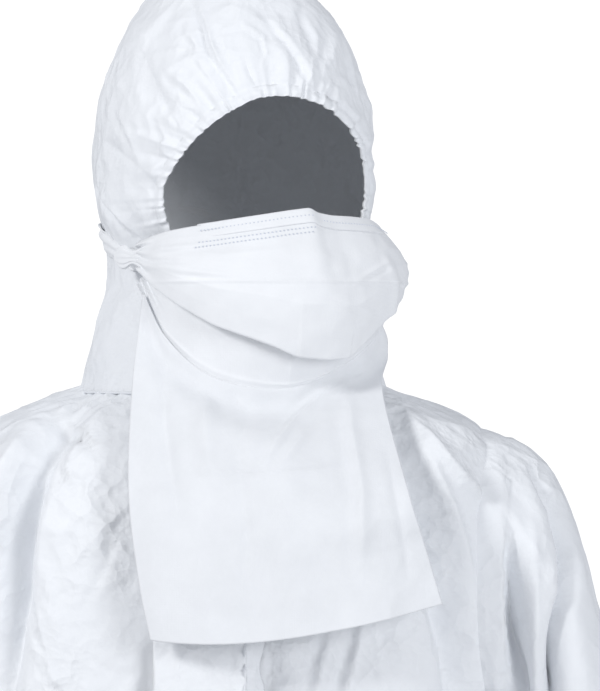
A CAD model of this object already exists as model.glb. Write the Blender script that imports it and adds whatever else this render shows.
"""Looks of the hooded coverall with its tie-on pouch mask and bib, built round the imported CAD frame."""
import math

import bpy
import numpy as np
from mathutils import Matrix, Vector


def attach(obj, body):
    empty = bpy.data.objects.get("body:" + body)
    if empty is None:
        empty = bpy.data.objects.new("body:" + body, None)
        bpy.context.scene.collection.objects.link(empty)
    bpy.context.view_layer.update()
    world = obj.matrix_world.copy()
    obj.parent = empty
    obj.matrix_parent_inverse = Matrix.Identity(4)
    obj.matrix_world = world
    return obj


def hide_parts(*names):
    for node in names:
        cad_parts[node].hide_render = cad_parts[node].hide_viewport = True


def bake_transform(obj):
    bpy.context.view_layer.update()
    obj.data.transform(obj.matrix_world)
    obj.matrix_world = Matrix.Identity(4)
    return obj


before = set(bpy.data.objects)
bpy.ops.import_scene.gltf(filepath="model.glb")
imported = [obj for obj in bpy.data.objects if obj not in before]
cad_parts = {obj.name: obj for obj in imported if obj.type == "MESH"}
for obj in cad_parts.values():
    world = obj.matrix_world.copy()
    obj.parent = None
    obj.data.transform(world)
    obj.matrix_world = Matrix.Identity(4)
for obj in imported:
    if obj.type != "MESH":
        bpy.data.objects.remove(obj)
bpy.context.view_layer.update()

MM = 0.001
TAU = 2 * math.pi
HEAD_TURN = math.radians(32)  # the head looks towards the wearer's left
HEAD_CENTRE = np.array([0.0, 0.0, 160.0])  # mm, middle of the hood's ball
SIDES = (("right", -1), ("left", 1))  # the wearer's sides and the sign of x on each
FLOOR_HEIGHT = -1.55  # m, a little below the ankle hems
FLOOR_RADIUS = 3.5


# ---------------------------------------------------------------- camera, lights, stage
def point_object(obj, target):
    obj.rotation_euler = (Vector(target) - obj.location).to_track_quat("-Z", "Y").to_euler()


def make_camera():
    azimuth = math.radians(5)
    distance = 1.9
    right = Vector((math.cos(azimuth), math.sin(azimuth), 0))
    back = Vector((math.sin(azimuth), -math.cos(azimuth), 0))
    target = right * 0.042 + Vector((0, 0, 0.0728))
    data = bpy.data.cameras.new("camera")
    data.lens = 158.3
    camera = bpy.data.objects.new("camera", data)
    camera.location = target + back * distance
    bpy.context.scene.collection.objects.link(camera)
    point_object(camera, target)
    bpy.context.scene.camera = camera


def area_light(name, location, target, size, power, color=(1, 1, 1)):
    data = bpy.data.lights.new(name, "AREA")
    data.shape = "DISK"
    data.size = size
    data.energy = power
    data.color = color
    light = bpy.data.objects.new(name, data)
    light.location = location
    bpy.context.scene.collection.objects.link(light)
    point_object(light, target)


def make_lights():
    area_light("key", (-2.3, -2.5, 1.9), (0, 0, 0), 0.8, 65)
    area_light("fill", (2.3, -2.4, 0.7), (0, 0, 0), 1.2, 37, (0.965, 0.98, 1.0))
    world = bpy.data.worlds.new("studio")
    bpy.context.scene.world = world
    world.use_nodes = True
    nodes, links = world.node_tree.nodes, world.node_tree.links
    seen = nodes.new("ShaderNodeBackground")
    seen.inputs["Color"].default_value = (1, 1, 1, 1)
    seen.inputs["Strength"].default_value = 1.1
    soft = nodes["Background"]
    soft.inputs["Color"].default_value = (0.90, 0.93, 1.0, 1)
    soft.inputs["Strength"].default_value = 0.50
    rays, mix = nodes.new("ShaderNodeLightPath"), nodes.new("ShaderNodeMixShader")
    links.new(rays.outputs["Is Camera Ray"], mix.inputs["Fac"])
    links.new(soft.outputs["Background"], mix.inputs[1])
    links.new(seen.outputs["Background"], mix.inputs[2])
    links.new(mix.outputs["Shader"], nodes["World Output"].inputs["Surface"])
    bpy.context.scene.view_settings.view_transform = "Standard"


def make_floor():
    bpy.ops.mesh.primitive_circle_add(vertices=96, radius=FLOOR_RADIUS, fill_type="NGON")
    bpy.context.object.location = (0, 0, FLOOR_HEIGHT)
    floor = bpy.context.object
    floor.name = "floor"
    floor.data.materials.append(new_material("floor_paper", (0.93, 0.93, 0.93), 0.8)[0])


# ---------------------------------------------------------------- materials
def new_material(name, color, roughness):
    material = bpy.data.materials.new(name)
    material.use_nodes = True
    shader = material.node_tree.nodes["Principled BSDF"]
    shader.inputs["Base Color"].default_value = (*color, 1)
    shader.inputs["Roughness"].default_value = roughness
    return material, shader


class Nodes:
    """Short names for building a material's texture network in object space."""

    def __init__(self, material):
        self.tree = material.node_tree
        self.place = self.tree.nodes.new("ShaderNodeTexCoord").outputs["Object"]

    def new(self, kind, **inputs):
        node = self.tree.nodes.new(kind)
        for key, value in inputs.items():
            socket = node.inputs[key.replace("_", " ")]
            if isinstance(value, bpy.types.NodeSocket):
                self.tree.links.new(value, socket)
            else:
                socket.default_value = value
        return node

    def noise(self, scale, detail=2.0, roughness=0.5, vector=None, distortion=0.0):
        node = self.new("ShaderNodeTexNoise", Vector=vector or self.place, Scale=scale, Detail=detail)
        node.inputs["Roughness"].default_value = roughness
        node.inputs["Distortion"].default_value = distortion
        return node.outputs["Fac"]

    def voronoi(self, scale, feature="F1", vector=None, randomness=1.0):
        node = self.new("ShaderNodeTexVoronoi", Vector=vector or self.place, Scale=scale)
        node.feature = feature
        node.inputs["Randomness"].default_value = randomness
        return node.outputs["Distance"]

    def math(self, operation, a, b=0.0, clamp=False):
        node = self.tree.nodes.new("ShaderNodeMath")
        node.operation, node.use_clamp = operation, clamp
        for socket, value in zip(node.inputs, (a, b)):
            if isinstance(value, bpy.types.NodeSocket):
                self.tree.links.new(value, socket)
            else:
                socket.default_value = value
        return node.outputs[0]

    def stretch(self, scale, rotation=(0, 0, 0)):
        node = self.new("ShaderNodeMapping", Vector=self.place)
        node.inputs["Scale"].default_value = scale
        node.inputs["Rotation"].default_value = rotation
        return node.outputs["Vector"]

    def warped(self, scale, amount):
        """Object coordinates pushed about by a noise, so that cells don't look regular."""
        noise = self.new("ShaderNodeTexNoise", Vector=self.place, Scale=scale, Detail=2.0)
        shift = self.tree.nodes.new("ShaderNodeVectorMath")
        shift.operation = "SCALE"
        self.tree.links.new(noise.outputs["Color"], shift.inputs[0])
        shift.inputs["Scale"].default_value = amount
        add = self.tree.nodes.new("ShaderNodeVectorMath")
        self.tree.links.new(self.place, add.inputs[0])
        self.tree.links.new(shift.outputs[0], add.inputs[1])
        return add.outputs[0]

    def bump(self, height, distance, strength=1.0, normal=None):
        node = self.new("ShaderNodeBump", Height=height, Distance=distance, Strength=strength)
        if normal is not None:
            self.tree.links.new(normal, node.inputs["Normal"])
        return node.outputs["Normal"]

    def ramp(self, factor, low, high, stops=(0.0, 1.0)):
        node = self.new("ShaderNodeValToRGB", Fac=factor)
        for element, at, color in zip(node.color_ramp.elements, stops, (low, high)):
            element.position = at
            element.color = (*color, 1)
        return node.outputs["Color"]


def crumpled_film():
    """Microporous film laminate: sharp little creases between flat facets, over a faint grain."""
    material, shader = new_material("film_laminate", (0.85, 0.87, 0.90), 0.62)
    n = Nodes(material)
    facets = n.voronoi(66.0, vector=n.warped(26.0, 0.022))
    fine = n.voronoi(190.0, vector=n.warped(60.0, 0.009))
    where = n.math("MULTIPLY_ADD", n.noise(17.0, 3.0), 2.4, False)
    where.node.inputs[2].default_value = -0.75
    where.node.use_clamp = True
    crease = n.math("MULTIPLY", facets, where)
    small = n.math("MULTIPLY", fine, where)
    grain = n.noise(1400.0, 2.0)
    normal = n.bump(crease, 0.0052, 0.65)
    normal = n.bump(small, 0.0016, 0.55, normal)
    normal = n.bump(grain, 0.00008, 0.6, normal)
    n.tree.links.new(normal, shader.inputs["Normal"])
    tone = n.ramp(n.noise(9.0, 4.0), (0.845, 0.862, 0.887), (0.88, 0.896, 0.918), (0.3, 0.7))
    n.tree.links.new(tone, shader.inputs["Base Color"])
    rough = n.ramp(n.noise(34.0, 3.0), (0.5, 0.5, 0.5), (0.68, 0.68, 0.68), (0.35, 0.7))
    n.tree.links.new(rough, shader.inputs["Roughness"])
    shader.inputs["Specular IOR Level"].default_value = 0.34
    shader.inputs["Sheen Weight"].default_value = 0.08
    return material


def spunbond(name, color, deep, opacity=1.0):
    """Soft point-bonded non-woven: lengthwise fibre streaks and a lattice of tiny bond dots."""
    material, shader = new_material(name, color, 0.78)
    n = Nodes(material)
    streaks = n.noise(900.0, 3.0, vector=n.stretch((1.0, 1.0, 0.16)))
    dots = n.voronoi(720.0, randomness=0.25)
    soft = n.noise(38.0, 3.0)
    normal = n.bump(soft, 0.0016, 0.35)
    normal = n.bump(streaks, 0.00012, 0.55, normal)
    normal = n.bump(dots, 0.00010, 0.45, normal)
    n.tree.links.new(normal, shader.inputs["Normal"])
    cloudy = n.noise(34.0, 4.0, 0.6)
    tone = n.ramp(cloudy, tuple(c * deep for c in color), color, (0.3, 0.72))
    n.tree.links.new(tone, shader.inputs["Base Color"])
    shader.inputs["Sheen Weight"].default_value = 0.15
    shader.inputs["Specular IOR Level"].default_value = 0.25
    if opacity < 1:
        veil = n.math("MULTIPLY_ADD", cloudy, 0.10)
        veil.node.inputs[2].default_value = opacity - 0.05
        n.tree.links.new(veil, shader.inputs["Alpha"])
    return material


def knitted_elastic():
    material, shader = new_material("covered_elastic", (0.80, 0.81, 0.83), 0.8)
    n = Nodes(material)
    ribs = n.noise(1500.0, 1.0, vector=n.stretch((1.0, 1.0, 0.2)))
    n.tree.links.new(n.bump(ribs, 0.0003, 0.7), shader.inputs["Normal"])
    n.tree.links.new(n.ramp(ribs, (0.70, 0.71, 0.73), (0.86, 0.87, 0.88)), shader.inputs["Base Color"])
    return material


def moulded_nylon():
    material, shader = new_material("moulded_nylon", (0.83, 0.83, 0.81), 0.36)
    n = Nodes(material)
    n.tree.links.new(n.bump(n.noise(900.0, 3.0), 0.00006, 0.5), shader.inputs["Normal"])
    wear = n.ramp(n.noise(240.0, 4.0), (0.78, 0.78, 0.76), (0.86, 0.86, 0.84), (0.35, 0.65))
    n.tree.links.new(wear, shader.inputs["Base Color"])
    return material


def soft_aluminium():
    material, shader = new_material("soft_aluminium", (0.72, 0.73, 0.75), 0.34)
    shader.inputs["Metallic"].default_value = 0.9
    n = Nodes(material)
    brushed = n.noise(500.0, 2.0, vector=n.stretch((1, 1, 0.1)))
    n.tree.links.new(n.bump(brushed, 0.0001, 0.4), shader.inputs["Normal"])
    return material


MATERIALS = {
    "fabric": crumpled_film(),
    "mask": spunbond("mask_nonwoven", (0.885, 0.897, 0.915), 0.955),
    "veil": spunbond("bib_nonwoven", (0.905, 0.92, 0.942), 0.965, 0.88),
    "elastic": knitted_elastic(),
    "plastic": moulded_nylon(),
    "wire": soft_aluminium(),
    "seam": spunbond("seam_tape", (0.84, 0.86, 0.89), 0.94),
    "label": spunbond("blank_tape", (0.88, 0.88, 0.88), 0.97),
    "weld": spunbond("weld_marks", (0.66, 0.70, 0.77), 0.96),
}


# ---------------------------------------------------------------- noise in numpy
def lattice(cell, seed):
    """A number in 0..1 for each whole-number cell, as rows of x, y, z."""
    c = cell.astype(np.int64)
    h = (c @ np.array([374761393, 668265263, 1440662683]) + seed * 1274126177) & 0xFFFFFFFF
    h = ((h ^ (h >> 13)) * 1274126177) & 0xFFFFFFFF
    h = ((h ^ (h >> 16)) * 668265263) & 0xFFFFFFFF
    return ((h ^ (h >> 15)) & 0xFFFFFF) / float(0xFFFFFF)


def value_noise(points, size, seed=0):
    """Smooth noise from -1 to 1 whose blobs are about size across, at rows of points."""
    p = points / size
    cell = np.floor(p)
    t = p - cell
    t = t * t * t * (t * (6 * t - 15) + 10)
    total = np.zeros(len(p))
    for corner in np.ndindex(2, 2, 2):
        weight = np.prod([t[:, k] if corner[k] else 1 - t[:, k] for k in range(3)], axis=0)
        total += weight * lattice(cell + np.array(corner), seed)
    return 2 * total - 1


def crumple(points, size, seed=0):
    """Sharp ridges between shallow dished facets of about that size: 0 in a facet to 1 on a ridge."""
    warp = np.stack([value_noise(points, size * 1.6, seed + k) for k in (1, 2, 3)], axis=1)
    p = points / size + 0.35 * warp
    cell = np.floor(p)
    nearest = np.full(len(p), 9.0)
    for offset in np.ndindex(3, 3, 3):
        c = cell + np.array(offset) - 1
        seat = c + np.stack([lattice(c, seed + k) for k in (11, 12, 13)], axis=1)
        nearest = np.minimum(nearest, ((p - seat) ** 2).sum(1))
    return np.clip(nearest, 0, 1.2)


def smoothstep(low, high, value):
    t = np.clip((value - low) / (high - low), 0, 1)
    return t * t * (3 - 2 * t)


def hump(value, centre, width):
    """1 at the centre, falling away evenly to either side."""
    return np.exp(-(((value - centre) / width) ** 2))


# ---------------------------------------------------------------- surfaces
def points_at(x, y, z):
    """Points (mm) from coordinates that may be plain numbers, rows, columns or whole grids."""
    return np.stack(np.broadcast_arrays(x, y, z), axis=-1)


def through(knots, count):
    """A Catmull-Rom curve through rows of knots, at count even steps."""
    k = np.asarray(knots, float)
    k = np.vstack([2 * k[0] - k[1], k, 2 * k[-1] - k[-2]])
    t = np.linspace(0, len(k) - 3 - 1e-9, count)
    i = np.floor(t).astype(int)
    f = (t - i)[:, None]
    a, b, c, d = k[i], k[i + 1], k[i + 2], k[i + 3]
    return 0.5 * (2 * b + (c - a) * f + (2 * a - 5 * b + 4 * c - d) * f**2 + (3 * b - a - 3 * c + d) * f**3)


def normals_of(grid, wrap):
    """Unit normals of a grid of points (rows, columns, 3)."""
    if wrap:
        across = np.roll(grid, -1, 1) - np.roll(grid, 1, 1)
    else:
        across = np.gradient(grid, axis=1)
    down = np.gradient(grid, axis=0)
    n = np.cross(across, down)
    return n / np.maximum(np.linalg.norm(n, axis=2, keepdims=True), 1e-9)


def crease(points, normals, path, width, height, skew=0.0):
    """Lift (mm) of one fold on the front, along a path of x and z in mm: a valley if height is below 0.
    skew adds a hollow of that share to the right of the ridge's way along its path."""
    path = np.asarray(path, float)
    p = points[:, [0, 2]]
    best, along, side = np.full(len(p), 1e9), np.zeros(len(p)), np.zeros(len(p))
    lengths = np.linalg.norm(np.diff(path, axis=0), axis=1)
    starts = np.concatenate([[0], np.cumsum(lengths)])
    for k, (a, b) in enumerate(zip(path[:-1], path[1:])):
        d = (b - a) / lengths[k]
        t = np.clip((p - a) @ d, 0, lengths[k])
        off = p - a - t[:, None] * d
        distance = np.hypot(off[:, 0], off[:, 1])
        nearer = distance < best
        best = np.where(nearer, distance, best)
        along = np.where(nearer, (starts[k] + t) / starts[-1], along)
        side = np.where(nearer, np.sign(off[:, 0] * d[1] - off[:, 1] * d[0]) * distance, side)
    taper = np.clip(np.sin(np.pi * (0.06 + 0.9 * along)), 0, 1) ** 0.7
    sharp = 1.15 if width < 3 else 1.6
    shape = np.exp(-((best / width) ** sharp))
    if skew:
        shape = shape - skew * hump(side, 1.6 * width, 1.3 * width)
    facing = smoothstep(0.05, 0.45, -normals[:, 1])
    return height * taper * shape * facing * (best < 5 * width)


def add_creases(points, normals, creases):
    total = np.zeros(len(points))
    for path, width, height, skew in creases:
        total += crease(points, normals, path, width, height, skew)
    return total


def mesh_from_grid(name, grid, wrap=False, material="fabric", thickness=0.6, cut=None, offset=-1):
    """A cloth mesh (metres) from a grid of points in mm, thickened inwards.
    Faces whose corners are all cut are left out."""
    rows, columns = grid.shape[:2]
    index = np.arange(rows * columns).reshape(rows, columns)
    right = np.roll(index, -1, 1) if wrap else index[:, 1:]
    left = index if wrap else index[:, :-1]
    quads = np.stack([left[:-1], right[:-1], right[1:], left[1:]], axis=2).reshape(-1, 4)
    vertices = grid.reshape(-1, 3) * MM
    if cut is not None:
        quads = quads[~cut.reshape(-1)[quads].all(1)]
        used = np.unique(quads)
        renumber = np.full(len(vertices), -1)
        renumber[used] = np.arange(len(used))
    # Faces point away from the tube's middle, or from the upright axis if the grid is open
    middle = np.repeat(grid.mean(axis=1), columns, axis=0) * MM if wrap else vertices * (0, 0, 1)
    a, b, c, _ = np.moveaxis(vertices[quads], 1, 0)
    if (np.cross(b - a, c - a) * (a - middle[quads[:, 0]])).sum() < 0:
        quads = quads[:, ::-1]
    if cut is not None:
        vertices, quads = vertices[used], renumber[quads]
    mesh = bpy.data.meshes.new(name)
    mesh.from_pydata(vertices.tolist(), [], quads.tolist())
    mesh.validate()
    piece = bpy.data.objects.new(name, mesh)
    bpy.context.scene.collection.objects.link(piece)
    piece.data.materials.append(MATERIALS[material])
    for polygon in mesh.polygons:
        polygon.use_smooth = True
    if thickness:
        solid = piece.modifiers.new("thickness", "SOLIDIFY")
        solid.thickness = thickness * MM
        solid.offset = offset
        solid.use_even_offset = False
    return piece


def mesh_piece(name, vertices, faces, material):
    """A mesh from corners in mm and faces."""
    mesh = bpy.data.meshes.new(name)
    mesh.from_pydata((vertices * MM).tolist(), [], faces)
    mesh.validate()
    mesh.materials.append(MATERIALS[material])
    piece = bpy.data.objects.new(name, mesh)
    bpy.context.scene.collection.objects.link(piece)
    return piece


def place(piece, body, slot, *nodes):
    """Let a piece stand for CAD nodes on a body."""
    if nodes:
        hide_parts(*nodes)
    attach(piece, body)


def turned(points, angle=HEAD_TURN):
    """Points turned about the upright axis: by default from the head's own frame to the row frame."""
    c, s = math.cos(angle), math.sin(angle)
    x, y, z = points[..., 0], points[..., 1], points[..., 2]
    return np.stack([x * c - y * s, x * s + y * c, z], axis=-1)


# ---------------------------------------------------------------- hood
# Profile of the hood's ball: height, half-width across, half-depth to the front and to the back
HOOD_PROFILE = [
    (316, 0.5, 0.5), (314.5, 14, 16), (308, 31, 37), (296, 45, 55), (280, 57, 70), (262, 68, 83),
    (240, 77, 94), (214, 82.5, 102), (182, 84, 105), (156, 82, 102), (134, 77, 95), (112, 77, 92),
    (90, 84, 91), (70, 89, 90), (49, 93, 92), (20, 104, 98), (-20, 118, 104),
]


def hood_radius(directions):
    """Distance from the head's centre to the hood's plain surface along unit directions."""
    table = through(HOOD_PROFILE, 400)
    z, across, along = table[::-1].T
    low, high = np.full(len(directions), 2.0), np.full(len(directions), 320.0)
    for _ in range(22):
        middle = (low + high) / 2
        p = HEAD_CENTRE + directions * middle[:, None]
        a, b = np.interp(p[:, 2], z, across), np.interp(p[:, 2], z, along)
        inside = (p[:, 0] / a) ** 2 + (p[:, 1] / b) ** 2 < 1
        inside &= p[:, 2] < 315.5
        low, high = np.where(inside, middle, low), np.where(inside, high, middle)
    return (low + high) / 2


NECK_SEAM = 44.0  # mm, height of the seam that joins the hood to the body
CROWN_HALF = 46  # mm, half-width of the crown panel
FACE_TOP = math.radians(31.5)  # the face opening's reach from its middle, up, down and sideways
FACE_LOW = math.radians(41)
FACE_SIDE = math.radians(43)
FACE_TURN = math.radians(-11)  # the hood turns less than the head inside it


def hood_fabric():
    """The hood's cloth as lines running out from the face opening to the back of the head."""
    columns, rows = 640, 170
    turn = np.linspace(0, TAU, columns, endpoint=False)  # 0 at the top, clockwise seen from the front
    up, over = np.cos(turn), np.sin(turn)
    tall = np.where(up > 0, FACE_TOP, FACE_LOW)
    round_by = 2 - 0.35 * smoothstep(0, 0.4, -over) * smoothstep(0, 0.3, up)
    edge = (np.abs(up / tall) ** round_by + np.abs(over / FACE_SIDE) ** round_by) ** (-1 / round_by)
    step = np.linspace(0, 1, rows) ** 1.4
    tilt = edge[None] + (math.pi - 0.002 - edge[None]) * step[:, None]
    directions = np.stack(
        [np.sin(tilt) * over[None], -np.cos(tilt), np.sin(tilt) * up[None]], axis=2
    ).reshape(-1, 3)
    directions = turned(directions, FACE_TURN)
    grid = (HEAD_CENTRE + directions * hood_radius(directions)[:, None]).reshape(rows, columns, 3)
    normals = normals_of(grid, True)
    if ((grid - HEAD_CENTRE) * normals).sum() < 0:
        normals = -normals
    normals[-1] = (0, 1, 0)
    away = np.concatenate(
        [np.zeros((1, columns)), np.cumsum(np.linalg.norm(np.diff(grid, axis=0), axis=2), axis=0)]
    )
    # Gathers: as many as the elastic makes, uneven, fading away from the edge
    ring = np.stack([np.cos(turn), np.sin(turn), np.zeros(columns)], axis=1)
    phase = 58 * turn + 4.5 * value_noise(ring, 0.12, 3) + 3.5 * value_noise(ring, 0.4, 4)
    reach = 5 + 22 * (0.5 + 0.5 * value_noise(ring, 0.08, 5)) ** 2
    size = 0.5 + 0.6 * value_noise(ring, 0.07, 17)
    gather = size * (np.sin(phase) + 0.3 * np.sin(1.7 * phase + 1)) * np.exp(-away / reach)
    phase = 27 * turn + 2.6 * value_noise(ring, 0.22, 6)
    reach = 24 + 20 * value_noise(ring, 0.15, 7)
    drawn = np.sin(phase) * hump(away, 0, reach) * smoothstep(1, 14, away)
    pull = 0.72 + 0.28 * up
    lift = 1.25 * gather * pull + 1.7 * drawn * pull
    # The hem's roll, and the narrowing behind it where the elastic pulls
    lift += 0.7 * hump(away, 3.0, 2.2) - 1.1 * hump(away, 8, 2.6)
    p, n, lift = grid.reshape(-1, 3), normals.reshape(-1, 3), lift.reshape(-1)
    body = smoothstep(8, 40, away).reshape(-1)
    lift += (2.3 * crumple(p, 27, 21) - 0.9) * (0.2 + 0.8 * body)
    lift += 1.9 * value_noise(p, 38, 8) * body + 0.35 * value_noise(p, 8, 9)
    lift += 1.5 * crumple(p, 11, 23) * np.clip(0.4 + 0.9 * value_noise(p, 36, 10), 0, 1.2)
    lift += add_creases(turned(p), turned(n), HOOD_CREASES)
    lift += crown_seam(p) - strap_pinch(p)
    grid = (p + n * lift[:, None]).reshape(rows, columns, 3)
    # The hem turns in round its elastic: a few rows roll back inside the opening
    first, inward = grid[0], -normals[0]
    back = grid[1] - first
    back /= np.linalg.norm(back, axis=1, keepdims=True)
    rolled = [first + inward * a + back * b for a, b in ((3.4, 8.0), (3.2, 3.2), (1.6, 0.3))]
    grid = np.concatenate([np.stack(rolled), grid])
    cut = grid[..., 2] < NECK_SEAM
    around = np.arctan2(grid[..., 0], -grid[..., 1])
    flare = 1 + 0.006 * np.sin(31 * around) * hump(grid[..., 2], NECK_SEAM, 14)
    grid[..., :2] *= flare[..., None]
    grid[cut] = points_at(95 * np.sin(around), -93 * np.cos(around), NECK_SEAM)[cut]
    piece = mesh_from_grid("hood_cloth", turned(grid), True, "fabric", 0.7, cut)
    panels = ("hood_panel_right", "hood_panel_left", "hood_panel_centre")
    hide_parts(*panels, "hood_hem", "hood_elastic")
    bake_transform(piece)
    ring = np.linspace(0, TAU, 240, endpoint=False)
    line = points_at(96 * np.sin(ring), -94 * np.cos(ring), NECK_SEAM + 0.3)
    place(bead("neck_seam", line, 0.9, True), "torso", None, "collar_band")


# Creases of the hood seen from the front: path of x and z (mm), half-width, height, hollow beside it
HOOD_CREASES = [
    ([(-15, 283), (-8, 267), (-5, 255), (2, 242), (8, 233), (15, 222)], 2.2, 2.0, 1.3),
    ([(17, 243), (20, 235), (26, 224)], 2.0, -2.6, 0),
    ([(32, 270), (44, 255), (52, 241), (57, 231), (58, 219)], 1.9, 1.8, 1.2),
    ([(51, 273), (58, 259), (60, 244)], 2.0, 1.4, 1.0),
    ([(64, 278), (69, 262), (67, 246), (63, 234)], 3.4, 2.4, 0),
    ([(73, 254), (77, 240), (80, 226)], 1.7, -1.6, 0),
    ([(-47, 246), (-41, 232), (-34, 221), (-27, 211)], 3.2, -3.4, -0.5),
    ([(-52, 247), (-31, 252), (-6, 250)], 1.0, 0.8, 0),
    ([(-84, 176), (-71, 159), (-54, 142)], 2.2, 2.6, 1.2),
    ([(-78, 199), (-60, 187), (-44, 176)], 4.0, -2.4, -0.4),
    ([(5, 262), (14, 266), (27, 258), (30, 248), (27, 240)], 1.5, 1.3, 0.8),
    ([(-20, 262), (-12, 252), (-2, 249)], 2.2, 1.3, 0.6),
    ([(-64, 214), (-56, 200), (-52, 190)], 2.6, 1.5, 0.8),
    ([(-36, 205), (-31, 196), (-36, 186)], 1.6, 1.2, 0.8),
    ([(-30, 236), (-20, 229), (-10, 219)], 2.4, 1.5, 0.9),
]


def crown_seam(p):
    """The two seams that join the crown panel to the sides, as a narrow raised line."""
    near = np.abs(np.abs(p[:, 0]) - CROWN_HALF)
    upper = np.clip(smoothstep(215, 240, p[:, 2]) + (p[:, 1] > 20), 0, 1)
    return 0.8 * hump(near, 0, 1.2) * upper


def strap_height(angle):
    """Height (mm) of the strap's middle at an angle (radians) from the front."""
    return 124 + 34 * (np.abs(angle) - math.radians(76)) / math.radians(98)


def strap_pinch(p):
    """How far the tied strap presses the hood in, at points of the head's frame."""
    angle = np.arctan2(p[:, 0], -p[:, 1])
    where = smoothstep(math.radians(60), math.radians(76), np.abs(angle))
    return 0.8 * hump(p[:, 2], strap_height(angle), 12) * where


def bead(name, line, radius, closed=False, material="seam", stitch=2.6):
    """A stitched welt: a slim tube along a line (mm) that narrows at each stitch."""
    line = np.asarray(line, float)
    if closed:
        along = np.roll(line, -1, 0) - np.roll(line, 1, 0)
    else:
        along = np.gradient(line, axis=0)
    along /= np.linalg.norm(along, axis=1, keepdims=True)
    side = np.cross(along, np.array([0.13, 0.21, 0.97]))
    side /= np.linalg.norm(side, axis=1, keepdims=True)
    other = np.cross(along, side)
    travel = np.concatenate([[0], np.cumsum(np.linalg.norm(np.diff(line, axis=0), axis=1))])
    r = radius * (1 + 0.22 * np.sin(TAU * travel / stitch))
    ring = np.linspace(0, TAU, 7)[:-1]
    across = np.cos(ring)[None, :, None] * side[:, None] + np.sin(ring)[None, :, None] * other[:, None]
    grid = line[:, None] + r[:, None, None] * across
    if closed:
        grid = np.concatenate([grid, grid[:1]])
    piece = mesh_from_grid(name, grid, True, material, 0)
    return piece


# ---------------------------------------------------------------- mask
def polar(theta, radius, z):
    return points_at(radius * np.sin(theta), -radius * np.cos(theta), z)


MASK_REACH = 66.0  # degrees from the nose to either end of the pouch
# Pouch outline: angle from the nose (degrees), height of the top edge and of the bottom fold (mm)
POUCH = np.array([
    (-66, 134, 119), (-61, 136, 116.5), (-50, 140, 105.5), (-40, 142.5, 95), (-31, 144.5, 85.5),
    (-22, 147, 79), (-15, 149, 73.5), (-8.5, 151, 67), (-1.5, 152.8, 65.5), (1.5, 150, 65.5),
    (7, 148.6, 66.5), (15, 148.4, 78),
    (25, 147.6, 92), (34, 144.5, 99.5), (45, 140.5, 106), (56, 137, 112), (66, 134, 118),
], float)
# Lower edge of the chin panel, where the bib starts: angle and height
CHIN_EDGE = np.array([
    (-66, 111), (-61, 101), (-52.6, 79), (-45, 66), (-39, 57), (-31.6, 49.5), (-23, 45), (-15, 43.5),
    (-7, 45), (0, 49.5), (7, 55), (15, 61.5), (24.6, 70.5), (34, 80), (45, 92), (56, 103), (66, 112),
], float)
# How far the pouch stands out at its middle, by share of the way down
POUCH_RISE = np.array([(0, 4), (0.12, 11.5), (0.3, 21), (0.5, 28), (0.64, 30), (0.82, 27.5), (1, 23.5)])


def pouch_radius(theta, t):
    """Radius of the pouch at an angle (degrees) and a share of the way down from its top edge."""
    u = np.abs(theta) / MASK_REACH
    rise = np.interp(t, POUCH_RISE[:, 0], POUCH_RISE[:, 1])
    r = 89 + (105 + rise - 89) * (1 - u**1.95)
    r = r + 2.0 * hump(theta, -2, 4.5) * (1 - smoothstep(0.15, 0.7, t))
    corner = 19 + 7 * t  # a pressed crease down the pouch's left side
    r = r + 1.7 * hump(theta, corner, 2.3) * smoothstep(0.25, 0.45, t)
    r = r - 1.3 * hump(theta, corner - 8, 5.5) * smoothstep(0.25, 0.5, t)
    lower = (theta > -8.5) & (theta < 7)
    r = r + 0.9 * np.where(lower, 1, 0.0) * smoothstep(0.6, 1, t)
    return r


def smooth_interp(x, table, column, width=1.6):
    """A table read with its corners rounded over a few degrees."""
    return sum(np.interp(x + o * width, table[:, 0], table[:, column]) for o in (-1, -0.5, 0, 0.5, 1)) / 5


def pouch_grid(columns=360, rows=110, drop=0.0, low=1.0):
    theta = np.linspace(-MASK_REACH, MASK_REACH, columns)
    t = np.linspace(0, low, rows)[:, None]
    top = smooth_interp(theta, POUCH, 1, 0.7)
    bottom = smooth_interp(theta, POUCH, 2, 1.2)
    z = top + (bottom - top) * t
    r = pouch_radius(theta[None], t) - drop
    side = np.abs(theta) / MASK_REACH
    pleat = np.sin(TAU * 3.3 * t + 0.6 + 0.4 * np.sign(theta)) * smoothstep(0.68, 1.0, side) ** 1.5
    r = r + 1.9 * pleat
    p = polar(np.radians(theta)[None], r, z)
    flat = p.reshape(-1, 3)
    lift = 0.9 * value_noise(flat * (1, 1, 1.4), 21, 31) + 0.45 * value_noise(flat, 9, 32)
    lift += 0.5 * crumple(flat, 17, 33) * smoothstep(-0.2, 0.6, value_noise(flat, 45, 34))
    lift = lift.reshape(z.shape) * smoothstep(0, 0.12, t)
    middle = smoothstep(-62, -35, theta) * (1 - smoothstep(30, 45, theta))
    lift += 0.75 * hump(z, 110.5, 0.9) * middle
    for angle, height, slope, length, depth in POUCH_PULLS:
        off = z - height - slope * (theta - angle)
        along = smoothstep(-length, 0, -np.abs(theta - angle)) ** 0.7
        lift += depth * (hump(off, 0, 1.6) - 0.8 * hump(off, -3.2, 2.0)) * along
    return polar(np.radians(theta)[None], r + lift, z), theta


# Soft pulls across the pouch: angle, height, rise for each degree, half-length (degrees), ridge height
POUCH_PULLS = [
    (-50, 123, -0.10, 15, -1.3), (-44, 131, 0.14, 15, 1.0), (-36, 116, -0.16, 13, 0.8),
    (8, 96, -0.7, 9, 0.5), (-20, 128, 0.2, 12, 0.5), (16, 118, 0.9, 9, 0.7),
    (50, 124, 0.12, 13, 1.0), (38, 110, 0.3, 12, 0.7),
]


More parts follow.
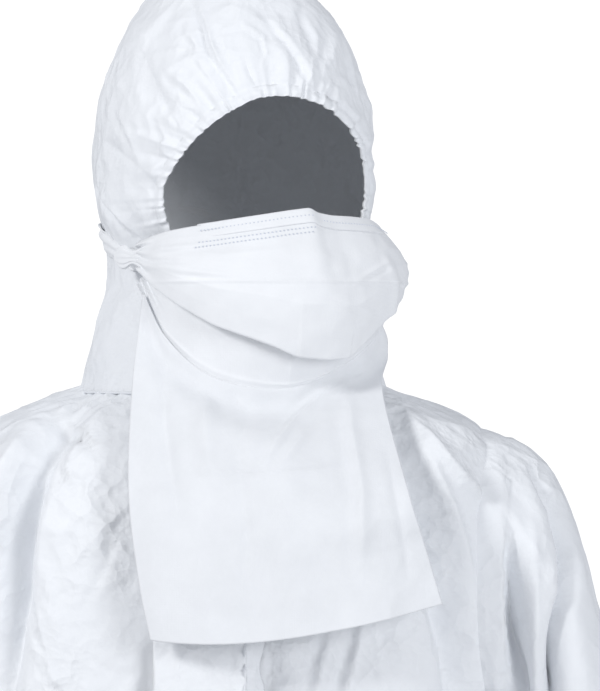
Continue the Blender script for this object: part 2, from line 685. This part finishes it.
def chin_radius(theta):
    u = np.abs(theta) / MASK_REACH
    return 88.5 + 19 * (1 - u**2.2)


# Section of the folded nose binding: height above the pouch's top edge and how far it stands off
BINDING = [(1.0, -0.6), (1.3, 0.0), (0.9, 0.4), (-1.2, 0.6), (-4.0, 0.6), (-6.4, 0.45), (-7.3, 0.05)]


def mask():
    """The pouch with its lining, the chin panel under it, and the nose binding over its wire."""
    grid, theta = pouch_grid()
    end = grid[-1]
    out = end * (1, 1, 0)
    out /= np.linalg.norm(out, axis=1, keepdims=True)
    up = np.array([0, 0, 1.0])
    under = [end - out * a + up * b for a, b in ((0.5, -0.9), (1.6, -1.1), (3.2, -0.5), (6.0, 1.5))]
    lip = [grid[0] - out * a + up * b for a, b in ((1.7, -3.0), (1.3, 0.5), (0.6, 0.9))]
    whole = np.concatenate([np.stack(lip), grid, np.stack(under)])
    front = mesh_from_grid("mask_pouch", turned(whole), False, "mask", 0.7)
    inner = pouch_grid(160, 60, 3.2, 0.94)[0]
    lining = mesh_from_grid("mask_lining", turned(inner), False, "mask", 0.5)
    # The chin panel runs from under the fold to the edge that carries the bib
    v = np.linspace(0, 1, 70)[:, None]
    low = smooth_interp(theta, CHIN_EDGE, 1, 2.0)
    bottom = smooth_interp(theta, POUCH, 2, 1.2)
    near = np.where(theta > 8, 5.0, 9.5)
    near = np.convolve(np.pad(near, 12, "edge"), np.ones(25) / 25, "valid")
    start = pouch_radius(theta, 1.0) - near
    z = bottom + 2.0 + (low - bottom - 2.0) * v
    r = start + (chin_radius(theta) - start) * v**1.15 + -1.6 * np.sin(np.pi * v) * (1 - np.abs(theta) / 80)
    p = polar(np.radians(theta)[None], r, z).reshape(-1, 3)
    lift = 0.8 * value_noise(p, 17, 36) + 0.5 * crumple(p, 13, 37)
    lift = lift.reshape(z.shape) + 0.5 * hump(v, 0.80, 0.04)
    lift += 1.3 * np.sin(TAU * 3.0 * v + 1) * smoothstep(0.72, 1, np.abs(theta) / MASK_REACH)
    cloth = polar(np.radians(theta)[None], r + lift, z)
    chin = mesh_from_grid("mask_chin", turned(cloth), False, "mask", 0.4)
    # Nose binding: a folded strip over the soft wire, welded in rows of dots
    reach = (theta > -38) & (theta < 37)
    strip = grid[:, reach][:, ::2]
    out = out[reach][::2]
    height = strip[0, :, 2]
    fold_rows = []
    ends = smoothstep(0, 12, 37.5 - np.abs(theta[reach][::2] + 0.5))
    for dz, lift_by in BINDING:
        z = height + dz
        share = np.clip(-dz / (strip[0, :, 2] - strip[-1, :, 2]), 0, 1)
        index = share * (len(strip) - 1)
        k = np.floor(index).astype(int)
        f = (index - k)[:, None]
        columns = np.arange(strip.shape[1])
        base = strip[k, columns] * (1 - f) + strip[np.minimum(k + 1, len(strip) - 1), columns] * f
        base[:, 2] = z
        fold_rows.append(base + out * (lift_by * ends - 1.1 * (1 - ends))[:, None])
    binding = mesh_from_grid("nose_strip", turned(np.stack(fold_rows)), False, "mask", 0.4, offset=1)
    inside = np.stack([strip[0] - out * (1.0 + k) + up * z for k, z in ((0, -1.0), (0.3, -4.5))])
    wire = mesh_from_grid("nose_bar", turned(inside), False, "wire", 0.8)
    place(wire, "hood", "wire", "nose_wire")
    place(weld_dots(grid, theta), "hood", "mask")
    place(front, "hood", "mask", "mask_front_panel")
    place(lining, "hood", "mask", "mask_inner_panel")
    place(chin, "hood", "mask", "mask_chin_panel")
    place(binding, "hood", "mask", "nose_binding")


# Rows of weld dots: distance below the top edge (mm), first and last angle and step (degrees)
WELD_ROWS = [(2.6, -36, -0.5, 1.2), (9.8, -36, -1, 1.15), (12.6, -37, -2, 1.15), (2.8, 3, 36, 1.2)]


def weld_dots(grid, theta):
    """Rows of tiny weld dots: one along the top edge, and a pair lower on the right half."""
    spots = []
    for down, low, high, step in WELD_ROWS:
        for angle in np.arange(low, high, step):
            column = np.interp(angle, theta, np.arange(len(theta)))
            k, f = int(column), column % 1
            line = grid[:, k] * (1 - f) + grid[:, k + 1] * f
            spot = np.array([np.interp(down - line[0, 2], -line[:, 2], line[:, m]) for m in range(3)])
            spot[:2] *= 1 + (1.15 if down < 6 else 0.4) / np.hypot(*spot[:2])
            spots.append((spot, angle))
    ring = np.linspace(0, TAU, 7)[:-1]
    vertices, faces = [], []
    for spot, angle in spots:
        a = math.radians(angle)
        out, along = np.array([math.sin(a), -math.cos(a), 0]), np.array([math.cos(a), math.sin(a), 0])
        base = len(vertices)
        for radius, height in ((0.56, -0.1), (0.42, 0.2)):
            for t in ring:
                up = np.array([0, 0, 0.9 * radius * math.sin(t)])
                vertices.append(spot + out * height + along * radius * math.cos(t) + up)
        for k in range(6):
            j = (k + 1) % 6
            faces.append((base + k, base + j, base + 6 + j, base + 6 + k))
        faces.append(tuple(base + 6 + k for k in range(6)))
    return mesh_piece("weld_dots", turned(np.array(vertices)), faces, "weld")


def ties():
    """The mask's straps, tied round the hood, with the gathers they start from and the knot behind."""
    for side, sign in SIDES:
        angle = np.linspace(math.radians(70), math.radians(177), 150)
        across = np.linspace(8, -8, 22)[:, None]
        z = strap_height(angle)[None] + across * (0.86 + 0.14 * np.sin(angle * 7)[None])
        flat = np.stack([np.sin(angle), -np.cos(angle)], axis=1)
        table = through(HOOD_PROFILE, 400)[::-1]
        half = np.interp(z, table[:, 0], table[:, 1])
        deep = np.interp(z, table[:, 0], table[:, 2])
        r = 1 / np.sqrt((flat[:, 0][None] / half) ** 2 + (flat[:, 1][None] / deep) ** 2)
        ripple = 0.7 * np.sin(across * 0.9 + 2 * np.sin(angle * 3)[None]) + 0.8 * np.cos(across * 0.42)
        r = r + 0.2 + ripple + 0.5 * np.sin(angle * 23)[None] * np.abs(across) / 8
        start = smoothstep(math.radians(84), math.radians(70), angle)[None]
        z = z * (1 - start) + (125 + across * 0.75) * start
        r = r + 3.0 * start
        grid = points_at(sign * r * flat[:, 0], r * flat[:, 1], z)
        strap = mesh_from_grid(f"tie_{side}", turned(grid), False, "mask", 0.6, offset=0)
        place(strap, "hood", "mask", f"mask_strap_{side}")
        # The gather: the pouch's side drawn together into narrow pleats
        u = np.linspace(0, TAU, 90, endpoint=False)
        v = np.linspace(0, 1, 40)[:, None]
        swell = np.sin(np.pi * np.clip(v, 0.03, 0.97)) ** 0.4
        waist = 1 - 0.55 * hump(v, 0.45, 0.2)
        pleats = 1 + 0.13 * np.sin(11 * u + 1.2 * v) * swell
        centre = math.radians(58) + math.radians(19) * v
        out = 91.6 + 1.6 * swell * np.cos(u)[None] * pleats
        z = 125 + 1.5 * v + 8.2 * swell * waist * np.sin(u)[None] * pleats
        grid = polar(sign * (centre + 0 * u[None]), out, z)
        gather = mesh_from_grid(f"gather_{side}", turned(grid), True, "mask", 0)
        place(gather, "hood", "mask", f"mask_gather_{side}")
    # Knot: two crossed rolls of cloth at the back of the head
    u = np.linspace(0, TAU, 60, endpoint=False)
    v = np.linspace(0, 1, 40)[:, None]
    swell = np.sin(np.pi * np.clip(v, 0.02, 0.98)) ** 0.6
    twist = u[None] + 2.2 * v
    body = 1 + 0.18 * np.sin(4 * twist)
    y, z = 112.5 + 4.6 * swell * body * np.cos(u), 158 + 8.4 * swell * body * np.sin(u)
    knot = mesh_from_grid("tie_knot", turned(points_at((v - 0.5) * 17, y, z)), True, "mask", 0)
    place(knot, "hood", "mask", "strap_knot")


# ---------------------------------------------------------------- bib
# Bib rows below the chin: left edge, middle and right edge as seen from the front (row frame, mm)
BIB_ROWS = [
    ((-48, -114, 42), (42, -139, 16), (99, -85, 45)),
    ((-45, -144, -12), (42, -161, -22), (117, -142, -10)),
    ((-39, -151, -55), (43, -165, -58), (127, -143, -42)),
    ((-30, -154, -97), (45, -167, -95), (137, -141, -76)),
]
BIB_CREASES = [
    ([(79, 52), (62, 42), (50, 30), (40, 16), (35, 4)], 3.4, 2.0, 0.5),
    ([(56, 22), (48, 10), (41, 1)], 3.2, 1.5, 0.6),
    ([(-16, -1), (10, 0), (33, -1), (60, 1), (88, 5)], 1.1, 1.0, 0),
    ([(78, 46), (84, 18), (91, -12), (91, -52)], 4.0, 2.4, 0.4),
    ([(-30, 58), (-26, 26), (-18, -12), (-14, -30)], 5.0, -2.8, 0),
    ([(-6, 46), (0, 20), (4, -4)], 7.0, 3.0, 0),
    ([(22, 34), (18, 10), (26, -30), (24, -70)], 5.0, -1.6, 0),
    ([(104, 10), (112, -20), (118, -60)], 3.4, -1.6, 0),
]


def bib():
    """The sheet that hangs from the chin panel, through one row of points for each height."""
    columns, rows = 190, 170
    s = np.linspace(0, 1, columns)
    theta = -61 + (61 + 36) * s
    low = smooth_interp(theta, CHIN_EDGE, 1, 2.0)
    front = np.cos(np.radians(theta + 8))
    knots = [
        turned(polar(np.radians(theta), chin_radius(theta) + 0.9, low + 4.0)),
        turned(polar(np.radians(theta), chin_radius(theta) + 2 + 5 * front, low - 10.0)),
    ]
    for left, middle, right in BIB_ROWS:
        a, b, c = (np.array(v, float) for v in (left, middle, right))
        q = 2 * b - (a + c) / 2
        knots.append((1 - s)[:, None] ** 2 * a + (2 * s * (1 - s))[:, None] * q + s[:, None] ** 2 * c)
    k = np.stack(knots)
    grid = through(k.reshape(len(k), -1), rows).reshape(rows, columns, 3)
    normals = normals_of(grid, False)
    if (normals[..., 1]).sum() > 0:
        normals = -normals
    p, n = grid.reshape(-1, 3), normals.reshape(-1, 3)
    down = np.repeat(np.linspace(0, 1, rows), columns)
    lift = add_creases(p, n, BIB_CREASES)
    hanging = p * (1.3, 1, 0.6)
    swell = 2.6 * value_noise(hanging, 44, 61) + 0.5 * value_noise(hanging, 17, 62)
    lift += swell * smoothstep(0.04, 0.3, down)
    lift += 0.4 * crumple(p, 26, 63)
    busy = smoothstep(0, 50, p[:, 0]) * smoothstep(10, -30, p[:, 2])
    lift += 1.5 * crumple(p * (1, 1, 0.8), 15, 64) * busy * (0.6 + 0.5 * value_noise(p, 40, 66))
    across = np.tile(s, rows)
    lift *= smoothstep(0, 0.08, down)
    lift += 0.6 * np.sin(across * 46 + 3 * value_noise(p, 30, 65)) * hump(down, 0.1, 0.07)
    p = p + n * lift[:, None]
    piece = mesh_from_grid("bib_cloth", p.reshape(grid.shape), False, "veil", 0.35)
    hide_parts("mask_bib")
    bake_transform(piece)


# ---------------------------------------------------------------- body and limbs
def superellipse(angle, half, front, back, n):
    """x and y of a section, its angle counted from the front towards +X."""
    s, c = np.sin(angle), np.cos(angle)
    x = half * np.sign(s) * np.abs(s) ** (2 / n)
    y = -np.where(c >= 0, front, back) * np.sign(c) * np.abs(c) ** (2 / n)
    return x, y


# Body sections: height, half-width, depth to the front and to the back, squareness
BODY_PROFILE = [
    (60, 87, 86, 86, 2), (50, 90, 88, 89, 2), (44, 101, 93, 93, 2.1), (36, 129, 99, 97, 2.4),
    (24, 152, 107, 102, 2.8), (6, 162, 118, 108, 3.4), (-30, 164, 126, 114, 3.7), (-80, 164, 129, 119, 3.8),
    (-165, 161, 129, 120, 3.6),
    (-300, 164, 128, 112, 2.9), (-430, 162, 127, 106, 2.6), (-520, 183, 128, 118, 2.5),
    (-600, 195, 128, 128, 2.5), (-641, 196, 124, 125, 2.5),
]
ARMHOLE_Z, ARMHOLE_R = -72.0, 83.0  # mm, middle height and radius of the armhole
WAIST = -430  # mm, height of the waist elastic


def even_rows(table, count, key):
    """A smooth table of rows resampled so that steps of (key columns) are even in length."""
    fine = through(table, 1200)
    travel = np.concatenate([[0], np.cumsum(np.linalg.norm(np.diff(fine[:, key], axis=0), axis=1))])
    want = np.linspace(0, travel[-1], count)
    return np.stack([np.interp(want, travel, fine[:, k]) for k in range(fine.shape[1])], axis=1)


def body_x(y, z):
    """Half-width of the body at a depth and height."""
    fine = through(BODY_PROFILE, 1200)[::-1]
    half, front, back, n = (np.interp(z, fine[:, 0], fine[:, k]) for k in (1, 2, 3, 4))
    share = np.clip(np.abs(y) / np.where(y < 0, front, back), 0, 0.999)
    return half * (1 - share**n) ** (1 / n)


def cloth_lift(p, seed=0):
    """The crinkle and swell that all the coverall's cloth has."""
    busy = 0.55 + 0.45 * value_noise(p, 110, seed + 44)
    busy = busy + 0.5 * smoothstep(30, 110, -p[:, 0]) * (p[:, 1] < 0)
    swell = 3.0 * value_noise(p, 80, seed + 40) + 1.4 * value_noise(p, 34, seed + 41)
    crease = 2.2 * crumple(p * (1, 1, 0.7), 40, seed + 42) - 0.9
    small = 2.0 * crumple(p * (1, 1, 0.75), 15, seed + 43) + 0.5 * crumple(p, 7, seed + 47) - 1.0
    return swell + (crease + small) * np.clip(busy, 0.15, 1.4)


# Creases of the body and left sleeve seen from the front: path of x and z (mm), half-width, height, hollow
BODY_CREASES = [
    ([(99, 44), (114, 5), (128, -40), (139, -76), (149, -108), (155, -160), (150, -230)], 12.0, -20.0, 0),
    ([(124, 16), (141, -22), (157, -76), (165, -128), (166, -180)], 4.5, 10.0, 0),
    ([(106, 41), (131, 14), (154, -13), (178, -43)], 4.0, 8.0, 0),
    ([(118, 40), (150, 12), (180, -16), (196, -40)], 12.0, -3.0, 0),
    ([(176, -42), (178, -76), (176, -106), (173, -160)], 8.0, -25.0, 0),
    ([(180, -36), (183, -52), (180, -60)], 4.0, 4.0, 0),
    ([(189, -34), (190, -80), (188, -130)], 3.5, 4.0, 0),
    ([(189, -2), (202, -24), (208, -48), (209, -76), (204, -102), (200, -140)], 3.0, -17.0, 0),
    ([(206, -84), (203, -110), (196, -170)], 7.0, -17.0, 0),
    ([(196, 2), (209, -20), (216, -46), (217, -80)], 3.2, 3.0, 0),
    ([(125, 22), (141, 37), (150, 40)], 0.9, 1.2, 0),
    ([(160, -10), (178, -30), (196, -60)], 2.2, 1.6, 0.8),
    (
        [(-90, 37), (-101, 12), (-110, -12), (-117, -38), (-120, -78), (-124, -102), (-128, -150)],
        10.5, -27.0, 0,
    ),
    ([(-112, 30), (-126, -2), (-136, -50), (-142, -110)], 7.0, 9.0, 0),
    ([(-97, 36), (-82, 27), (-66, 13)], 2.4, 3.0, 1.3),
    ([(-92, 14), (-98, -12), (-103, -44), (-104, -74)], 5.0, 4.0, 0),
    ([(-84, 18), (-88, 2), (-80, -14)], 1.8, 1.8, 0.9),
    ([(-48, -30), (-58, -58), (-66, -76)], 2.0, 2.2, 1.1),
    ([(-106, -78), (-98, -104)], 1.8, 2.0, 1.2),
    ([(-96, -120), (-84, -132), (-74, -138)], 2.2, 1.8, 0.8),
    ([(-44, -104), (-42, -120), (-50, -134)], 2.0, 1.8, 0.9),
    ([(-30, -96), (-34, -130), (-38, -180)], 4.0, -3.0, 0),
    ([(41, -88), (36, -112), (40, -140), (36, -190)], 3.6, -5.0, -0.5),
    ([(72, -90), (66, -112), (60, -140)], 2.6, 2.6, 1.0),
    ([(90, -86), (84, -112), (74, -150)], 2.6, 2.8, 1.0),
    ([(100, -92), (104, -112)], 5.0, -2.4, 0),
    ([(60, -240), (110, -262), (146, -250)], 7.0, 3.4, 0.7),
    ([(-60, -250), (-110, -282), (-150, -276)], 7.0, 3.4, 0.7),
    ([(50, -330), (100, -362), (150, -360)], 8.0, 3.6, 0.7),
    ([(-50, -340), (-96, -380), (-146, -384)], 8.0, 3.6, 0.7),
    ([(40, -470), (90, -520), (120, -590)], 8.0, 3.4, 0.6),
    ([(-40, -470), (-86, -530), (-112, -600)], 8.0, 3.4, 0.6),
]


def lifted(grid, wrap, seed=0, creases=(), extra=0.0, share=None):
    """A grid of points moved out along its normals by the cloth's relief."""
    normals = normals_of(grid, wrap)
    if ((grid - grid.mean(axis=1, keepdims=True)) * normals).sum() < 0:
        normals = -normals
    p, n = grid.reshape(-1, 3), normals.reshape(-1, 3)
    lift = cloth_lift(p, seed)
    if share is not None:
        lift = lift * share.reshape(-1)
    rim = np.abs(np.hypot(p[:, 1], p[:, 2] - ARMHOLE_Z) - ARMHOLE_R)
    held = np.where((np.abs(p[:, 0]) > 120) & (np.abs(p[:, 0]) < 172), smoothstep(1, 16, rim), 1)
    lift = (lift + add_creases(p, n, creases)) * held + np.broadcast_to(extra, grid.shape[:2]).reshape(-1)
    return (p + n * lift[:, None]).reshape(grid.shape)


def body_fabric():
    """The body as one tube of cloth cut into its panels, with round armholes and their seams."""
    columns, rows = 440, 290
    profile = even_rows(BODY_PROFILE, rows, [0, 1])
    angle = np.linspace(0, TAU, columns, endpoint=False) + TAU / columns / 2
    grid = np.zeros((rows, columns, 3))
    for i, (z, half, front, back, n) in enumerate(profile):
        x, y = superellipse(angle, half, front, back, n)
        grid[i] = points_at(x, y, z)
    x, y, z = np.moveaxis(grid, 2, 0)
    behind = smoothstep(0.3, -0.1, np.cos(angle))[None]
    gather = np.sin(angle * 58 + 2.4 * np.sin(angle * 5))[None]
    waist = (1.8 * gather - 4.5) * hump(z, WAIST, 12) + 1.5 * gather * hump(z, WAIST, 42)
    waist = behind * waist
    zip_strip = smoothstep(12, 36, np.abs(x)) + (y > 0)
    calm = np.clip(zip_strip, 0, 1) * smoothstep(60, 36, z)
    neck = 0.9 * np.sin(angle * 47) * hump(z, NECK_SEAM, 9) - 1.6 * (1 - np.clip(zip_strip, 0, 1))
    grid = lifted(grid, True, 0, BODY_CREASES, waist + neck, calm)
    rho = np.hypot(grid[..., 1], grid[..., 2] - ARMHOLE_Z)
    cut = (rho < ARMHOLE_R) & (np.abs(grid[..., 0]) > 110)
    scale = np.where(cut, ARMHOLE_R / np.maximum(rho, 1), 1)
    grid[..., 1] *= scale
    grid[..., 2] = (grid[..., 2] - ARMHOLE_Z) * scale + ARMHOLE_Z
    quarter = columns // 4
    waist_row = int(np.argmin(np.abs(profile[:, 0] - WAIST)))
    left, right = np.arange(0, quarter + 1), np.arange(3 * quarter, columns)
    backs = np.arange(quarter, 3 * quarter + 1)
    every = slice(0, rows)
    parts = [
        ("body_front_left", left, every, ["front_panel_left"]),
        ("body_front_right", right, every, ["front_panel_right"]),
        ("body_back_upper", backs, slice(0, waist_row + 1), ["back_panel_upper", "waist_elastic"]),
        ("body_back_seat", backs, slice(waist_row, rows), ["back_panel_seat"]),
    ]
    for name, picked, span, stands_for in parts:
        piece = mesh_from_grid(name, grid[span][:, picked], False, "fabric", 0.8, cut[span][:, picked])
        place(piece, "torso", "fabric", *stands_for)
    for side, sign in SIDES:
        a = np.linspace(0, TAU, 260, endpoint=False)
        radius = ARMHOLE_R + 0.6
        y, z = radius * np.cos(a), ARMHOLE_Z + radius * np.sin(a)
        line = points_at(sign * (body_x(y, z) + 1.0), y, z)
        place(bead(f"armhole_seam_{side}", line, 0.8, True), "torso", None)


ARM = math.radians(14)


def along_arm(distance):
    """x and z of the sleeve's middle at a distance (mm) past the elbow."""
    return 257 + distance * math.sin(ARM), -367 - distance * math.cos(ARM)


def arm_section(distance, half, depth):
    x, z = along_arm(distance)
    return (x, z, half, depth, 14.0)


# Left sleeve sections: centre x and z, half-width across, half-depth, tilt in degrees
SLEEVE = [
    (142, -69, 85, 82, 90), (157, -68, 88.5, 84.5, 90), (176, -79.5, 82.5, 82.5, 79),
    (188.5, -100, 69, 79, 69), (198, -130, 53, 76, 53.6), (208, -170, 43.5, 72, 28.4),
    (226, -240, 43.5, 68, 17.5), arm_section(-50, 44, 64), arm_section(0, 43.5, 62),
    arm_section(50, 42, 60), arm_section(145, 42, 54), arm_section(226, 38, 46),
    arm_section(241, 33.5, 38.5),
]


def sleeve(side, sign):
    """A sleeve in two pieces that bend at the shoulder and elbow, and its elasticated cuff."""
    rows, columns = 250, 200
    table = even_rows(SLEEVE, rows, [0, 1])
    angle = np.linspace(0, TAU, columns, endpoint=False)
    across, y = superellipse(angle, 1, 1, 1, 2.2)
    tilt = np.radians(table[:, 4])[:, None]
    middle_x, middle_z, half, depth = (table[:, k : k + 1] for k in range(4))
    grid = points_at(
        middle_x + half * across * np.cos(tilt), depth * y, middle_z + half * across * np.sin(tilt)
    )
    way = np.array([math.sin(ARM), 0, -math.cos(ARM)])
    along = (grid - np.array([257, 0, -367])) @ way
    # Soft rings where the arm bends, and the gather into the cuff
    rings = 2.2 * np.sin(along / 8.5 + 1.2 * np.sin(angle * 2)[None]) * hump(along, 0, 62)
    gather = 1.3 * np.sin(angle * 34 + np.sin(angle * 5))[None] * hump(along, 243, 18)
    calm = smoothstep(244, 220, along) * smoothstep(143, 172, grid[..., 0])
    creases = BODY_CREASES if sign > 0 else ()
    grid = lifted(grid, True, 7 if sign > 0 else 19, creases, rings + gather, 0.8 * calm + 0.05)
    grid = grid * (sign, 1, 1)
    if sign < 0:
        grid = grid[:, ::-1]
    middle = int(np.argmin(np.abs(along.mean(1) + 50)))
    upper = mesh_from_grid(f"sleeve_upper_{side}", grid[: middle + 1], True, "fabric", 0.8)
    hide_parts(f"upper_sleeve_{side}")
    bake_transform(upper)
    lower = mesh_from_grid(f"sleeve_lower_{side}", grid[middle:], True, "fabric", 0.8)
    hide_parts(f"elbow_section_{side}", f"lower_sleeve_{side}")
    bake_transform(lower)
    # Cuff: a narrow hem drawn in by its elastic
    v = np.linspace(0, 1, 46)[:, None]
    distance = 239 + 39 * v
    waist = hump(v, 0.5, 0.16)
    pucker = np.sin(angle * 38 + 1.6 * np.sin(angle * 6))[None] * (0.5 + 0.9 * waist)
    r = 1 + 0.08 * v - 0.07 * waist
    half, depth = 32.5 * r + pucker, 37.5 * r + pucker
    x, z = along_arm(distance)
    x, z = x + half * across * math.cos(ARM), z + half * across * math.sin(ARM)
    cuff_grid = points_at(sign * x, depth * y, z)
    if sign < 0:
        cuff_grid = cuff_grid[:, ::-1]
    cuff = mesh_from_grid(f"cuff_{side}", cuff_grid, True, "fabric", 0.9)
    place(cuff, f"forearm_{side}", "fabric", f"cuff_hem_{side}", f"cuff_elastic_{side}")


# Left leg sections: height, centre x, half-width, half-depth
LEG = [
    (-722, 99, 94, 106), (-790, 103, 89, 99), (-870, 108, 81, 91), (-960, 112, 76, 84), (-1010, 114, 75, 82),
    (-1060, 116, 72, 80), (-1205, 124, 69, 75), (-1330, 130, 65, 71), (-1401, 134, 60, 68),
]


def leg_outline(z, angle):
    """x and y of the left leg's section at a height: half of the seat at the top, round lower down."""
    table = through(LEG, 800)[::-1]
    centre, half, depth = (np.interp(z, table[:, 0], table[:, k]) for k in (1, 2, 3))
    x0, y0 = superellipse(angle, 1, 1, 1, 2.1)
    seat_x, seat_y = superellipse(angle, 196, 124, 125, 2.5)
    inner = np.sin(angle) < 0
    seat_x = np.where(inner, 3.0, seat_x)
    seat_y = np.where(inner, -124.5 * np.cos(angle), seat_y)
    t = smoothstep(-640, -722, z)
    return np.maximum(seat_x * (1 - t) + (centre + half * x0) * t, 3.0), seat_y * (1 - t) + depth * y0 * t


def leg(side, sign):
    """A leg in two pieces that bend at the hip and knee, and its elasticated ankle hem."""
    rows, columns = 260, 190
    angle = np.linspace(0, TAU, columns, endpoint=False)
    z = np.concatenate([np.linspace(-640, -722, 30)[:-1], np.linspace(-722, -1401, rows - 29)])
    x0, y0 = superellipse(angle, 1, 1, 1, 2.1)
    down = z[:, None]
    x, y = leg_outline(down, angle)
    grid = points_at(x, y, down)
    rings = 2.0 * np.sin((down + 1010) / 10 + 1.1 * np.sin(angle * 2)) * hump(down, -1010, 75)
    gather = 1.6 * np.sin(angle * 40 + np.sin(angle * 5)) * hump(down, -1402, 24)
    calm = smoothstep(-641, -690, down) * smoothstep(-1401, -1370, down) * smoothstep(4, 14, x)
    grid = lifted(grid, True, 27 if sign > 0 else 33, (), (rings + gather) * calm, calm)
    grid[..., 0] = np.maximum(grid[..., 0], 2.0)
    grid = grid * (sign, 1, 1)
    if sign < 0:
        grid = grid[:, ::-1]
    middle = int(np.argmin(np.abs(z + 880)))
    upper = mesh_from_grid(f"leg_upper_{side}", grid[: middle + 1], True, "fabric", 0.8)
    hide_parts(f"hip_section_{side}", f"upper_leg_{side}")
    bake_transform(upper)
    lower = mesh_from_grid(f"leg_lower_{side}", grid[middle:], True, "fabric", 0.8)
    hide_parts(f"knee_section_{side}", f"lower_leg_{side}")
    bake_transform(lower)
    v = np.linspace(0, 1, 44)[:, None]
    waist = hump(v, 0.5, 0.17)
    pucker = np.sin(angle * 46 + 1.6 * np.sin(angle * 6))[None] * (0.6 + 1.0 * waist)
    r = 1 - 0.06 * waist - 0.02 * v
    x, y = 134 + (60.5 * r + pucker) * x0, (68.5 * r + pucker) * y0
    ankle_grid = points_at(sign * x, y, -1399 - 36 * v)
    if sign < 0:
        ankle_grid = ankle_grid[:, ::-1]
    ankle = mesh_from_grid(f"ankle_{side}", ankle_grid, True, "fabric", 0.9)
    place(ankle, f"shin_{side}", "fabric", f"ankle_hem_{side}", f"ankle_elastic_{side}")


def gusset():
    """The crotch piece: it starts behind the foot of the zip and widens to meet both legs' walls."""
    v = np.linspace(0, math.pi, 90)
    y = np.concatenate([np.full(16, -119.0), -118 * np.cos(v)])
    z = np.concatenate([np.linspace(-597, -639, 16), -641 - 78 * np.sin(v) ** 0.8])
    wall_x, wall_y = leg_outline(z[:, None], np.linspace(TAU, math.pi, 200, endpoint=False))
    reach = np.array([np.interp(at, row_y, row_x) for at, row_y, row_x in zip(y, wall_y, wall_x)])
    half = np.where(z > -640, 14, np.maximum(19, reach + 2.5))
    u = np.linspace(-1, 1, 36)[None]
    p = points_at(u * half[:, None], y[:, None], z[:, None])
    flat = p.reshape(-1, 3)
    p[..., 2] += (1.2 * value_noise(flat, 20, 71) + 0.6 * value_noise(flat, 8, 72)).reshape(106, 36)
    piece = mesh_from_grid("crotch_cloth", p, False, "fabric", 0.8, offset=0)
    place(piece, "torso", "fabric", "crotch_gusset")


# ---------------------------------------------------------------- front closing
def storm_flap():
    """The flap over the zip: smooth strip, with the puckered seam that joins it on the left."""
    z = np.linspace(-40, -600, 420)[:, None]
    x = np.linspace(-31, 23.4, 34)[None]
    edge = smoothstep(12, 23, x)
    pucker = 0.9 * np.sin(z / 1.9 + 2 * np.sin(z / 23)) * edge**2
    flat = points_at(x, -141.0, z).reshape(-1, 3)
    wave = 1.1 * value_noise(flat * (1, 1, 0.6), 40, 81) + 0.4 * value_noise(flat, 12, 82)
    wave = (wave + 0.55 * crumple(flat, 26, 83)).reshape(420, 34)
    groove = -0.8 * hump(x, 15.5, 0.9)
    y = -141.2 - wave - pucker - groove
    piece = mesh_from_grid("flap_cloth", points_at(x, y, z), False, "fabric", 1.6)
    place(piece, "flap", "fabric", "storm_flap")
    # The welt that carries it stands off the panel, drawn into puckers by its stitching
    s = np.linspace(0, 1, 16)[None]
    x = 23.0 + 8.5 * s + 1.5 * np.sin(z / 4.2 + np.sin(z / 31)) * s**2
    pucker = 0.8 * np.sin(z / 1.9 + 2 * np.sin(z / 23)) + 0.7 * np.sin(z / 5.3)
    y = -140.3 + 11.0 * s**1.6 + pucker * (1 - s)
    welt = mesh_from_grid("flap_welt", points_at(x, y, z), False, "fabric", 0.8)
    place(welt, "torso", "fabric", "flap_seam_welt")
    line = points_at(22.6, -141.9 - 0.9 * np.sin(z[:, 0] / 1.9), z[:, 0])
    place(bead("flap_stitching", line, 0.5, False, "seam", 3.0), "flap", None)


# Corners of each face of a box: four at the back, then four at the front
BOX_FACES = [(0, 1, 2, 3), (4, 7, 6, 5), (0, 4, 5, 1), (1, 5, 6, 2), (2, 6, 7, 3), (3, 7, 4, 0)]


def zip_chain():
    """The zip's teeth, one side half a step below the other, on their tapes."""
    for side, sign in SIDES:
        vertices, faces = [], []
        for k in range(150):
            top = 13.5 - 4.02 * k - (2.01 if sign > 0 else 0)
            if top - 2.3 < -590:
                continue
            base = len(vertices)
            far = sign * 2.9
            for y, shrink in ((-128.4, 0.0), (-130.6, 0.3)):
                near = sign * (shrink - 0.6)
                vertices += [(near, y, top - shrink), (far, y, top - 0.35)]
                vertices += [(far, y, top - 1.95), (near, y, top - 2.3 + shrink)]
            faces += [tuple(base + corner for corner in face) for face in BOX_FACES]
        teeth = mesh_piece(f"teeth_{side}", np.array(vertices), faces, "plastic")
        z = np.linspace(14, -590, 300)[:, None]
        x = np.linspace(3.2, 13, 10)[None] * sign
        y = -128.6 + 0.25 * np.sin(z / 3.1) * np.abs(x) / 13
        tape = mesh_from_grid(f"tape_{side}", points_at(x, y, z), False, "seam", 0.7, offset=0)
        place(teeth, "torso", "plastic", f"zip_teeth_{side}")
        place(tape, "torso", "seam", f"zip_tape_{side}")


def finish_for(name):
    """The material of a piece that keeps its CAD shape, from its name."""
    if name.startswith("zip_"):
        return MATERIALS["plastic"]
    return MATERIALS[next((kind for kind in ("label", "elastic") if kind in name), "seam")]


def dress_cad():
    """The moulded and small pieces that keep their CAD shape get their finish and softened edges."""
    for name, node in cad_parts.items():
        if node.hide_render:
            continue
        node.data.materials.clear()
        node.data.materials.append(finish_for(name))
        soft = node.modifiers.new("soft_edges", "BEVEL")
        soft.width = 0.0003
        soft.segments = 2
        soft.limit_method = "ANGLE"


make_camera()
make_lights()
make_floor()
hood_fabric()
mask()
ties()
bib()
body_fabric()
for side, sign in SIDES:
    sleeve(side, sign)
    leg(side, sign)
gusset()
storm_flap()
zip_chain()
dress_cad()
